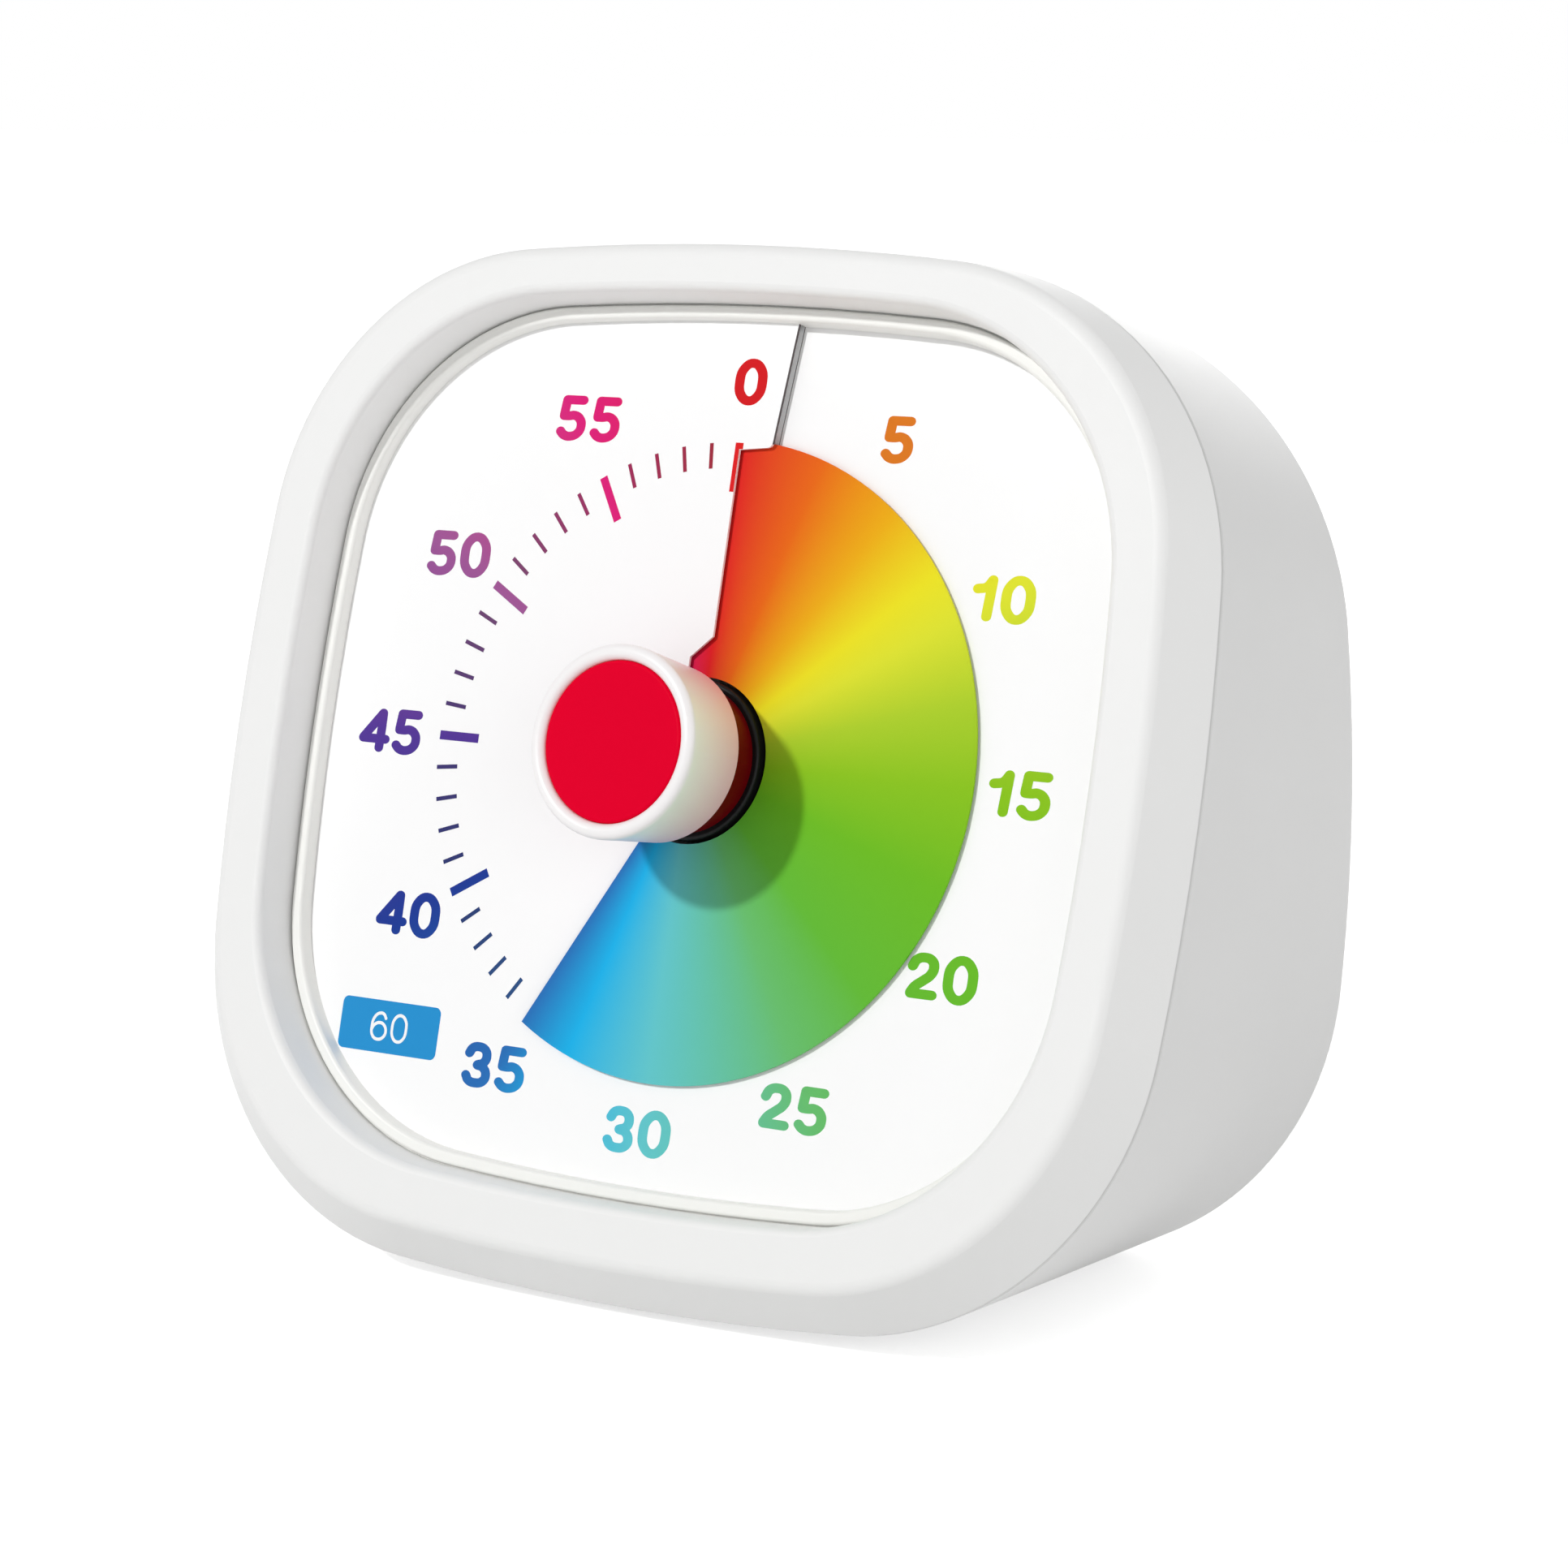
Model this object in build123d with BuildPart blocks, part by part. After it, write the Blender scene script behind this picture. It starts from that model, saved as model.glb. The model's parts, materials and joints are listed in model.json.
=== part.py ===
from build123d import *
import os
from math import cos, radians, sin

# Visual countdown timer. Millimetres, +Z up. The dial faces -Y and leans back.
# The origin is on the table, under the middle of the body. "Height" and "up" on the dial
# are measured on its own plane; "rise" is measured out of it, towards the viewer.

# ---------------------------------------------------------------- driving dimensions
# body
lean = 14.5                     # the dial leans back from upright, degrees
face_rise = 5.7                 # front face above the dial
face_half_w = 47.15
face_half_h = 44.6
face_up = 0.2                   # middle of the face outline above the dial's middle
face_bow = 3.4                  # how far each side bows out
face_corner = 26.6
face_round = 1.4                # rounding of the front edge
seam_rise = 1.0                 # parting line between bezel and rear housing
seam_half_w = face_half_w + 3.55
seam_half_h = face_half_h + 2.0
seam_up = face_up - 1.5
seam_bow = face_bow + 0.5
seam_corner = face_corner + 2.3
seam_groove = 0.25              # chamfer on each side of the parting line
rear_half_w = seam_half_w - 2.4 # upright rear face
rear_half_h = seam_half_h - 2.6
rear_up = seam_up - 3.3
rear_bow = seam_bow + 0.75
rear_corner = seam_corner + 1.1
rear_round = 2.0
foot_cut = 1.6                  # the flat foot cuts this much off the rear face's lower edge
dial_height = rear_half_h - rear_up - foot_cut  # middle of the dial above the table
housing_wall = 2.0
bezel_wall = 1.8
tongue_wall = 1.1               # lip of the bezel that enters the rear housing
tongue_depth = 1.8
shell_fit = 0.15                # clearance between that lip and the housing

# window and the ring round the dial
rim_width = 4.75                # face beside the window
rim_height = 4.65               # face above and below it, on average
window_half_w = face_half_w - rim_width
window_half_h = face_half_h - rim_height
window_up = face_up + 0.45
window_bow = face_bow - 0.7
window_corner = face_corner - 2.5
lip_slope = 0.3                 # the window's edge narrows by this much ...
lip_rise = 1.5                  # ... down to this height
lip_round = 0.8
curtain_wall = 1.4              # wall that hangs from the lip and presses on the ring
ring_gap = 0.15
ring_top = 1.5
ring_width = 1.15
ring_draft = 0.2
ring_round = 0.35
flange_rise = 0.9               # top of the ring's flange, under the curtain wall

# card and film disc, both cut along a radius and wound as one shallow screw surface
pitch = 1.0                     # rise of that surface in one turn
card_rise = -0.25               # middle of the film's rise, above the dial
screw_step = 10.0               # angle between the points that its curves pass through
card_thick = 0.25
film_thick = 0.2
film_radius = 28.5
set_minutes = 35.0              # time set on the dial at rest
dial_minutes = 60.0
slit_side = 0.3                 # edge of the slit's upper lip, right of the 0 mark
slit_turn_up = 9.0              # near the middle the slit turns aside
slit_turn_side = 1.85
slit_turn_rise = 1.95
slit_step_up = film_radius - 0.95   # just inside the film's edge the upper lip widens ...
slit_step_side = 3.7
slit_step_rise = 0.35
slit_step_round = 0.6
slit_lip_side = 5.0             # ... and laps over the lower one out to the ring
slit_lap_angle = 7.6            # the card is wound this far past a full turn
ring_step_angle = 7.05          # step under the ring where the upper lip ends
film_gap = 0.3                  # film to hub
card_hole_gap = 0.4             # card to hub
clamp_gap = 0.02                # ring and dial frame to card

# knob
hub_radius = 7.1
hub_top = 0.8
hub_bottom = -1.6
spindle_radius = 1.5
spindle_top = 9.4
stem_radius = 6.5
stem_top = 9.8
sleeve_front_radius = 8.5
sleeve_rear_radius = 7.8
sleeve_top = 13.2
sleeve_rear = 5.0
sleeve_web = 1.6
sleeve_rim = 1.45               # wall of the sleeve round the cap
cap_sunk = 0.4
cap_round = 0.3
press_gap = 0.02                # pieces pushed onto each other
running_gap = 0.03              # shaft in its bush

# dial frame: the inner plate that carries card and movement
plate_top = -3.4
plate_thick = 1.6
frame_rim = 2.2                 # wall of the frame under the card's edge
frame_lap = 1.0                 # card and frame past the window
boss_radius = 3.8
boss_bottom = -10.0
upper_screw_x = window_half_w - 9.4
upper_screw_up = window_half_h - 10.95
lower_screw_x = window_half_w - 6.4
lower_screw_up = -20.0
screw_radius = 1.1
screw_fit = 0.05
screw_clear = 0.3
head_radius = 2.4
head_height = 1.6
head_clear = 0.3
screw_tip = -4.6
screw_floor = 3.5               # floor of each counterbore under the screw's head
screw_point = 0.4               # free length of the pilot hole past the screw
rib_thick = 1.2                 # stiffening ribs behind the plate, outside the movement
rib_height = 2.4
rib_gap = 1.5

# movement
movement_half = 23.0
movement_corner = 5.0
cover_thick = 2.0
movement_depth = 13.5           # from the cover's front to the case's back
case_wall = 1.5
bush_radius = 4.0
bush_flange_radius = 5.5
bush_flange = 0.8
bush_top = -2.0
nut_flats = 11.0
nut_height = 1.4
pillar_radius = 2.2
pillar_x = 17.6
pillar_up = 17.6
small_screw_radius = 0.9
small_head_radius = 1.8
small_head_height = 1.1
small_screw_length = 6.0
pivot_radius = 0.5
pivot_gap = 0.05
pivot_depth = 0.9
module = 0.3                    # gear size: pitch diameter over teeth
centre_teeth = 60
third_leaves = 15
third_teeth = 48
fourth_leaves = 12
fourth_teeth = 36
rotor_leaves = 12
third_bearing = 135.0           # direction from the centre wheel to the third wheel
fourth_bearing = -110.0
rotor_bearing = -75.0
tooth_share = 0.38              # tooth thickness over tooth pitch
tooth_tip_share = 0.16
addendum = 0.9
dedendum = 1.25
wheel_thick = 0.8
level_gap = 0.35                # free height between parts that turn in the movement
cam_radius = 6.0
cam_lobe = 0.5
cam_thick = 1.2
magnet_radius = 3.0
magnet_height = 2.6
stator_thick = 0.8
stator_gap = 0.6
coil_radius = 2.8
coil_length = 15.0
core_width = 3.0
board_thick = 1.0
board_width = 13.0
board_height = 25.0
board_x = 14.0
board_up = 1.5
post_radius = 1.2
crystal_radius = 1.0
crystal_length = 6.0
crystal_edge = 4.0              # crystal's end to the board's upper edge
chip_side = 5.0
chip_height = 1.2
leaf_thick = 0.2
leaf_gap = 0.3                  # alarm leaf to the cam's lobe
leaf_length = 8.0
leaf_foot = 3.2
collar_radius = 2.6
collar_height = 1.5
washer_radius = 3.4
washer_thick = 0.25
washer_dish = 0.6

# battery, one size AA cell, behind a door in the rear face
battery_radius = 7.1
battery_length = 50.5
nub_radius = 2.75
nub_length = 1.0
battery_up = -31.5              # middle of the cell above the dial's middle (upright)
battery_gap = 0.4
bay_wall = 1.6
bay_gap = 1.748                 # movement's lower rear edge to the bay
contact_thick = 0.5
contact_side = 9.0
spring_room = 3.0
spring_wire = 0.3
spring_radius = 3.0
spring_turns = 2.5
spring_sunk = 0.8               # first turn's height over the plate, in wire radii
door_thick = 1.8
door_lap = 1.3                  # door past the bay's opening, onto its walls
door_corner = 1.5
grip_width = 14.0
grip_height = 3.0
grip_depth = 0.7
grip_up = 5.0
grip_ribs = 5
grip_rib_pitch = 2.2
grip_rib_thick = 0.6
grip_rib_height = 0.4
door_gap = 0.2
door_tab = 2.6
door_tab_thick = 1.0
door_tab_width = 8.0

# buzzer and sound switch on the rear wall
buzzer_up = 18.0
buzzer_radius = 9.5
buzzer_thick = 2.0
buzzer_wall = 1.2
buzzer_fit = 0.1
sound_hole_radius = 0.9
sound_hole_ring = 4.0
sound_holes = 6
switch_up = -6.0
switch_travel = 3.0
switch_recess = 0.8
nub_width = 3.0
nub_height = 2.6
slot_gap = 0.15
switch_base = 7.0
switch_base_height = 4.4
switch_base_thick = 0.8
switch_body_length = 13.0
switch_body_height = 7.0
switch_body_depth = 5.0
switch_gap = 0.1

# ---------------------------------------------------------------- planes and places
lean_sin = sin(radians(lean))
lean_cos = cos(radians(lean))
plate_bottom = plate_top - plate_thick
case_back = plate_bottom - movement_depth
bay_half_height = battery_radius + battery_gap
battery_rear = door_thick + battery_gap
bay_depth = battery_rear + 2 * battery_radius + battery_gap
movement_reach = -case_back * lean_cos - movement_half * lean_sin
rear_depth = movement_reach + bay_gap + bay_wall + bay_depth
front_reach = (face_half_h - face_up) * lean_sin + face_rise * lean_cos
dial_y = (front_reach - rear_depth) / 2
dial = Plane(origin=(0, dial_y, dial_height), x_dir=(1, 0, 0), z_dir=(0, -lean_cos, lean_sin))
dial_section = Plane(origin=dial.origin, x_dir=(1, 0, 0), z_dir=-dial.y_dir)
dial_axis = Axis(dial.origin, dial.z_dir)
rear_y = dial_y + rear_depth
rear = Plane(origin=(0, rear_y, dial_height), x_dir=(1, 0, 0), z_dir=(0, -1, 0))
rear_inside = rear.offset(housing_wall)

hidden_angle = 360.0 * (set_minutes / dial_minutes - 1.0)   # film behind the card at rest
card_low = card_rise - pitch / 2                            # card at the slit's lower lip
cover_bottom = plate_bottom - cover_thick
case_bottom = case_back + case_wall
bush_bottom = cover_bottom - bush_flange
screw_places = [
    (upper_screw_x, upper_screw_up),
    (-upper_screw_x, upper_screw_up),
    (lower_screw_x, lower_screw_up),
    (-lower_screw_x, lower_screw_up),
]
pillar_places = [(pillar_x, pillar_up), (-pillar_x, pillar_up)]


def polar(start, distance, bearing):
    return (
        start[0] + distance * cos(radians(bearing)),
        start[1] + distance * sin(radians(bearing)),
    )


def mesh_distance(teeth, leaves):
    return module * (teeth + leaves) / 2


third_place = polar((0, 0), mesh_distance(centre_teeth, third_leaves), third_bearing)
fourth_place = polar(third_place, mesh_distance(third_teeth, fourth_leaves), fourth_bearing)
rotor_place = polar(fourth_place, mesh_distance(fourth_teeth, rotor_leaves), rotor_bearing)

centre_top = bush_bottom - level_gap
centre_bottom = centre_top - wheel_thick
third_wheel_top = centre_bottom - 3 * level_gap
third_wheel_bottom = third_wheel_top - wheel_thick
fourth_wheel_top = third_wheel_bottom - level_gap
fourth_wheel_bottom = fourth_wheel_top - wheel_thick
cam_top = fourth_wheel_bottom - level_gap
magnet_top = fourth_wheel_bottom - 2 * level_gap
magnet_bottom = magnet_top - magnet_height
stator_top = (magnet_top + magnet_bottom + stator_thick) / 2
board_top = cam_top - cam_thick - level_gap


# ---------------------------------------------------------------- shared shapes
def bowed_loop(half_w, half_h, up, bow, corner, inset=0.0):
    # four slightly bowed sides joined by round corners, drawn in the open sketch
    side = half_w - inset
    top = half_h - inset
    turn_x = side - bow
    turn_y = top - bow
    with BuildLine() as sides:
        ThreePointArc((turn_x, up - turn_y), (side, up), (turn_x, up + turn_y))
        ThreePointArc((turn_x, up + turn_y), (0, up + top), (-turn_x, up + turn_y))
        ThreePointArc((-turn_x, up + turn_y), (-side, up), (-turn_x, up - turn_y))
        ThreePointArc((-turn_x, up - turn_y), (0, up - top), (turn_x, up - turn_y))
    loop = make_face(sides.edges())
    fillet(loop.vertices(), corner - inset)


def face_loop(inset=0.0):
    bowed_loop(face_half_w, face_half_h, face_up, face_bow, face_corner, inset)


def seam_loop(inset=0.0):
    bowed_loop(seam_half_w, seam_half_h, seam_up, seam_bow, seam_corner, inset)


def rear_loop(inset=0.0):
    bowed_loop(rear_half_w, rear_half_h, rear_up, rear_bow, rear_corner, inset)


def window_loop(inset=0.0):
    bowed_loop(window_half_w, window_half_h, window_up, window_bow, window_corner, inset)


def disc_between(low, high, radius, place=(0, 0), mode=Mode.ADD):
    # round plate square to the dial's axis, in the open part
    with BuildSketch(dial.offset(low)) as round_face:
        with Locations(place):
            Circle(radius)
    extrude(round_face.sketch, amount=high - low, mode=mode)


def housing_form(inset, floor, groove=0.0):
    # the rear body's form, less a wall all round, its front edge cut back for the groove
    with BuildPart() as form:
        if groove > 0:
            with BuildSketch(dial.offset(seam_rise)):
                seam_loop(inset + groove)
        with BuildSketch(dial.offset(seam_rise - groove)):
            seam_loop(inset)
        with BuildSketch(rear.offset(inset)):
            rear_loop(inset)
        loft(ruled=True)
        split(bisect_by=Plane.XY.offset(floor), keep=Keep.TOP)
    return form.part


def screw_line(radius, start, sweep_angle, low):
    # curve wound clockwise round the dial's axis, rising by the pitch in each turn
    steps = max(2, round(sweep_angle / screw_step))
    points = []
    for step in range(steps + 1):
        angle = start + sweep_angle * step / steps
        across, up = polar((0, 0), radius, 90.0 - angle)
        points.append(dial.from_local_coords((across, up, low + pitch * angle / 360)))
    return Edge.make_spline(points)


def screw_surface(inner, outer, start, sweep_angle, low, thick):
    # strip between two such curves, as thick as asked along the dial's axis
    inner_line = screw_line(inner, start, sweep_angle, low)
    outer_line = screw_line(outer, start, sweep_angle, low)
    with BuildPart() as strip:
        extrude(
            Face.make_surface_from_curves(inner_line, outer_line), amount=thick, dir=dial.z_dir
        )
    return strip.part


def gear_loop(place, teeth, tooth_bearing):
    # outline of a small gear with straight-flanked teeth, one of them at the bearing given
    pitch_radius = module * teeth / 2
    tip = pitch_radius + addendum * module
    root = pitch_radius - dedendum * module
    step = 360.0 / teeth
    root_half = step * (0.5 - tooth_share / 2 - 0.06)
    points = []
    for tooth in range(teeth):
        middle = tooth_bearing + tooth * step
        points.append(polar(place, root, middle - step / 2 + root_half / 2))
        points.append(polar(place, tip, middle - step * tooth_tip_share / 2))
        points.append(polar(place, tip, middle + step * tooth_tip_share / 2))
        points.append(polar(place, root, middle + step / 2 - root_half / 2))
    with BuildLine() as teeth_line:
        Polyline(*points, close=True)
    make_face(teeth_line.edges())


def save(part, label):
    part.label = label
    export_step(part, f"parts/{label}.step")


os.makedirs("parts", exist_ok=True)

# ---------------------------------------------------------------- front bezel
# flared from the front face out to the parting line, hollow behind, with a thin tongue
# that enters the rear housing
tongue_inset = housing_wall + shell_fit
tongue_form = housing_form(tongue_inset, tongue_inset)
tongue_hollow = housing_form(tongue_inset + tongue_wall, tongue_inset + tongue_wall)
with BuildPart() as tongue:
    with BuildSketch(dial.offset(seam_rise - tongue_depth)):
        seam_loop()
    extrude(amount=tongue_depth)
    add(tongue_form, mode=Mode.INTERSECT)
    add(tongue_hollow, mode=Mode.SUBTRACT)

with BuildPart() as front_bezel:
    with BuildSketch(dial.offset(seam_rise)):
        seam_loop(seam_groove)
    with BuildSketch(dial.offset(seam_rise + seam_groove)):
        seam_loop()
    with BuildSketch(dial.offset(face_rise)):
        face_loop()
    loft(ruled=True)
    fillet(front_bezel.faces().sort_by(dial_axis)[-1].edges(), face_round)
    with BuildSketch(dial.offset(seam_rise)):
        seam_loop(tongue_inset + tongue_wall)
    with BuildSketch(dial.offset(face_rise - bezel_wall)):
        face_loop(tongue_inset + tongue_wall)
    loft(ruled=True, mode=Mode.SUBTRACT)
    with BuildSketch(dial.offset(flange_rise)):
        window_loop(lip_slope - curtain_wall)
    extrude(amount=face_rise - bezel_wall / 2 - flange_rise)
    with BuildSketch(dial.offset(flange_rise)):
        window_loop(lip_slope)
    extrude(amount=lip_rise - flange_rise, mode=Mode.SUBTRACT)
    with BuildSketch(dial.offset(lip_rise)):
        window_loop(lip_slope)
    with BuildSketch(dial.offset(face_rise)):
        window_loop()
    loft(ruled=True, mode=Mode.SUBTRACT)
    front_face = front_bezel.faces().sort_by(dial_axis)[-1]
    fillet(front_face.inner_wires()[0].edges(), lip_round)
    add(tongue.part)
save(front_bezel.part, "front_bezel")

# ---------------------------------------------------------------- rear housing
# one moulding with the screw bosses, the battery bay, the buzzer's ring and the switch slot
housing_outside = housing_form(0.0, 0.0, seam_groove)
housing_inside = housing_form(housing_wall, housing_wall)
bay_half_length = (battery_length + spring_room + contact_thick) / 2
door_half_length = bay_half_length + door_lap
door_half_height = bay_half_height + door_lap
slot_length = nub_width + switch_travel + 2 * slot_gap
slot_height = nub_height + 2 * slot_gap

with BuildPart() as housing_bosses:
    with BuildSketch(dial.offset(boss_bottom)):
        with Locations(screw_places):
            Circle(boss_radius)
    extrude(amount=-2 * rear_depth)
    add(housing_outside, mode=Mode.INTERSECT)

with BuildPart() as rear_housing:
    add(housing_outside)
    fillet(rear_housing.faces().sort_by(Axis.Y)[-1].edges(), rear_round)
    add(housing_inside, mode=Mode.SUBTRACT)
    add(housing_bosses.part)
    with BuildSketch(dial.offset(boss_bottom)):
        with Locations(screw_places):
            Circle(screw_radius + screw_clear)
    extrude(amount=-2 * rear_depth, mode=Mode.SUBTRACT)
    with BuildSketch(dial.offset(boss_bottom - screw_floor)):
        with Locations(screw_places):
            Circle(head_radius + head_clear)
    extrude(amount=-2 * rear_depth, mode=Mode.SUBTRACT)
    with BuildSketch(rear.offset(door_thick)):
        with Locations((0, battery_up)):
            Rectangle(2 * (bay_half_length + bay_wall), 2 * (bay_half_height + bay_wall))
    extrude(amount=bay_depth + bay_wall - door_thick)
    with BuildSketch(rear.offset(door_thick)):
        with Locations((0, battery_up)):
            Rectangle(2 * bay_half_length, 2 * bay_half_height)
    extrude(amount=bay_depth - door_thick, mode=Mode.SUBTRACT)
    with BuildSketch(rear):
        with Locations((0, battery_up)):
            RectangleRounded(
                2 * (door_half_length + door_gap),
                2 * (door_half_height + door_gap),
                door_corner + door_gap,
            )
    extrude(amount=door_thick, mode=Mode.SUBTRACT)
    with BuildSketch(rear_inside):
        with Locations((0, buzzer_up)):
            Circle(buzzer_radius + buzzer_fit + buzzer_wall)
            Circle(buzzer_radius + buzzer_fit, mode=Mode.SUBTRACT)
    extrude(amount=buzzer_thick)
    with BuildSketch(rear):
        with Locations((0, buzzer_up)):
            Circle(sound_hole_radius)
            with PolarLocations(sound_hole_ring, sound_holes):
                Circle(sound_hole_radius)
    extrude(amount=housing_wall, mode=Mode.SUBTRACT)
    with BuildSketch(rear):
        with Locations((0, switch_up)):
            SlotOverall(slot_length + 2 * nub_width, slot_height + nub_height)
    extrude(amount=switch_recess, mode=Mode.SUBTRACT)
    with BuildSketch(rear):
        with Locations((0, switch_up)):
            Rectangle(slot_length, slot_height)
    extrude(amount=housing_wall, mode=Mode.SUBTRACT)
save(rear_housing.part, "rear_housing")

# ---------------------------------------------------------------- dial ring, card and frame
# the card is clamped between the ring in front and the dial frame behind; both follow the
# card's screw surface, cut here by half-turn blocks that lie on it
card_under = card_low - card_thick / 2
card_over = card_low + card_thick / 2
block_inner = film_radius
block_outer = window_half_w + window_half_h
block_depth = ring_top + 2 * pitch
half_turn = 180.0
below_card = [
    screw_surface(
        block_inner,
        block_outer,
        start,
        half_turn,
        card_over + clamp_gap - block_depth,
        block_depth,
    )
    for start in (ring_step_angle, half_turn + ring_step_angle)
]
above_card = [
    screw_surface(
        block_inner, block_outer, start, half_turn, card_under - clamp_gap, block_depth
    )
    for start in (0.0, half_turn)
]

with BuildPart() as dial_ring:
    with BuildSketch(dial.offset(card_under)):
        window_loop(lip_slope + ring_gap)
    extrude(amount=ring_top - card_under)
    fillet(dial_ring.faces().sort_by(dial_axis)[-1].edges(), ring_round)
    with BuildSketch(dial.offset(card_under)):
        window_loop(-frame_lap)
    extrude(amount=flange_rise - card_under)
    with BuildSketch(dial.offset(card_under)):
        window_loop(lip_slope + ring_gap + ring_width + ring_draft)
    with BuildSketch(dial.offset(ring_top)):
        window_loop(lip_slope + ring_gap + ring_width)
    loft(ruled=True, mode=Mode.SUBTRACT)
    add(below_card, mode=Mode.SUBTRACT)
    fillet(dial_ring.faces().sort_by(dial_axis)[-1].inner_wires()[0].edges(), ring_round)
save(dial_ring.part, "dial_ring")

card_hole = hub_radius + card_hole_gap
card_top = window_half_h + window_up + frame_lap
with BuildPart() as dial_card:
    add(
        screw_surface(
            card_hole, block_outer, 0.0, 360.0 + slit_lap_angle, card_under, card_thick
        )
    )
    with BuildSketch(dial.offset(-pitch)):
        window_loop(-frame_lap)
    extrude(amount=2 * pitch, mode=Mode.INTERSECT)
    with BuildSketch(dial.offset(card_rise)) as lip_cut:
        with BuildLine():
            Polyline(
                (-slit_turn_side, 0),
                (-slit_turn_side, slit_turn_up),
                (slit_side, slit_turn_up + slit_turn_rise),
                (slit_side, slit_step_up),
                (slit_step_side, slit_step_up + slit_step_rise),
                (slit_lip_side, card_top),
                (film_radius, card_top),
                (film_radius, 0),
                close=True,
            )
        make_face()
        lip_corner = (slit_step_side, slit_step_up + slit_step_rise)
        fillet(lip_cut.vertices().sort_by_distance(lip_corner)[0], slit_step_round)
    extrude(amount=pitch, mode=Mode.SUBTRACT)
save(dial_card.part, "dial_card")

with BuildPart() as dial_frame:
    with BuildSketch(dial.offset(plate_bottom)):
        window_loop(-frame_lap)
    extrude(amount=plate_thick)
    with BuildSketch(dial.offset(plate_top)):
        window_loop(-frame_lap)
    extrude(amount=pitch - plate_top)
    with BuildSketch(dial.offset(plate_top)):
        window_loop(frame_rim - frame_lap)
    extrude(amount=pitch - plate_top, mode=Mode.SUBTRACT)
    add(above_card, mode=Mode.SUBTRACT)
    with BuildSketch(dial.offset(plate_bottom - rib_height)):
        window_loop(frame_rim)
    extrude(amount=rib_height)
    with BuildSketch(dial.offset(plate_bottom - rib_height)):
        window_loop(frame_rim + rib_thick)
    extrude(amount=rib_height, mode=Mode.SUBTRACT)
    with BuildSketch(dial.offset(plate_bottom - rib_height)):
        with Locations((0, window_up)):
            Rectangle(2 * (window_half_w - frame_rim) - rib_thick, rib_thick)
            Rectangle(rib_thick, 2 * (window_half_h - frame_rim) - rib_thick)
        Rectangle(
            2 * (movement_half + rib_gap), 2 * (movement_half + rib_gap), mode=Mode.SUBTRACT
        )
    extrude(amount=rib_height)
    with BuildSketch(dial.offset(boss_bottom)):
        with Locations(screw_places):
            Circle(boss_radius)
    extrude(amount=plate_bottom - boss_bottom)
    with BuildSketch(dial.offset(boss_bottom)):
        with Locations(screw_places):
            Circle(screw_radius + screw_fit)
    extrude(amount=screw_tip + screw_point - boss_bottom, mode=Mode.SUBTRACT)
    disc_between(plate_bottom, plate_top, bush_radius + screw_fit, mode=Mode.SUBTRACT)
    for place in pillar_places:
        disc_between(
            plate_bottom, plate_top, small_head_radius + head_clear, place, Mode.SUBTRACT
        )
save(dial_frame.part, "dial_frame")

with BuildPart() as case_screws:
    with BuildSketch(dial.offset(boss_bottom - screw_floor)):
        with Locations(screw_places):
            Circle(screw_radius)
    extrude(amount=screw_tip - boss_bottom + screw_floor)
    with BuildSketch(dial.offset(boss_bottom - screw_floor - head_height)):
        with Locations(screw_places):
            Circle(head_radius)
    extrude(amount=head_height)
    fillet(
        case_screws.edges().filter_by(GeomType.CIRCLE).group_by(dial_axis)[0], head_height / 3
    )
save(case_screws.part, "case_screws")

# ---------------------------------------------------------------- film disc
# one full turn of thin film, cut along a radius; its hidden part lies behind the card
with BuildPart() as colour_disc:
    add(
        screw_surface(
            hub_radius + film_gap,
            film_radius,
            hidden_angle,
            360.0,
            card_rise - film_thick / 2,
            film_thick,
        )
    )
save(colour_disc.part, "colour_disc")

# ---------------------------------------------------------------- knob and spindle
with BuildPart() as spindle:
    disc_between(case_bottom - pivot_depth + pivot_gap, spindle_top, spindle_radius)
    chamfer(spindle.edges().group_by(dial_axis)[-1], spindle_radius / 5)
save(spindle.part, "spindle")

with BuildPart() as disc_hub:
    disc_between(hub_bottom, hub_top, hub_radius)
    disc_between(hub_bottom, hub_top, spindle_radius + press_gap, mode=Mode.SUBTRACT)
    fillet(disc_hub.edges().group_by(dial_axis)[-1].sort_by(SortBy.LENGTH)[-1], cap_round)
save(disc_hub.part, "disc_hub")

with BuildPart() as knob_stem:
    disc_between(hub_top, stem_top, stem_radius)
    disc_between(hub_top, spindle_top + pivot_gap, spindle_radius + press_gap, mode=Mode.SUBTRACT)
save(knob_stem.part, "knob_stem")

web_top = stem_top + sleeve_web
with BuildPart() as knob_sleeve:
    with BuildSketch(dial_section):
        with BuildLine():
            Polyline(
                (0, stem_top),
                (stem_radius + press_gap, stem_top),
                (stem_radius + press_gap, sleeve_rear),
                (sleeve_rear_radius, sleeve_rear),
                (sleeve_front_radius, sleeve_top),
                (sleeve_front_radius - sleeve_rim, sleeve_top),
                (sleeve_front_radius - sleeve_rim, web_top),
                (0, web_top),
                close=True,
            )
        make_face()
    revolve(axis=dial_axis)
    fillet(knob_sleeve.edges().group_by(dial_axis)[-1], sleeve_rim / 2.1)
save(knob_sleeve.part, "knob_sleeve")

with BuildPart() as knob_cap:
    disc_between(web_top, sleeve_top - cap_sunk, sleeve_front_radius - sleeve_rim - press_gap)
    fillet(knob_cap.edges().group_by(dial_axis)[-1], cap_round)
save(knob_cap.part, "knob_cap")

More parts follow.
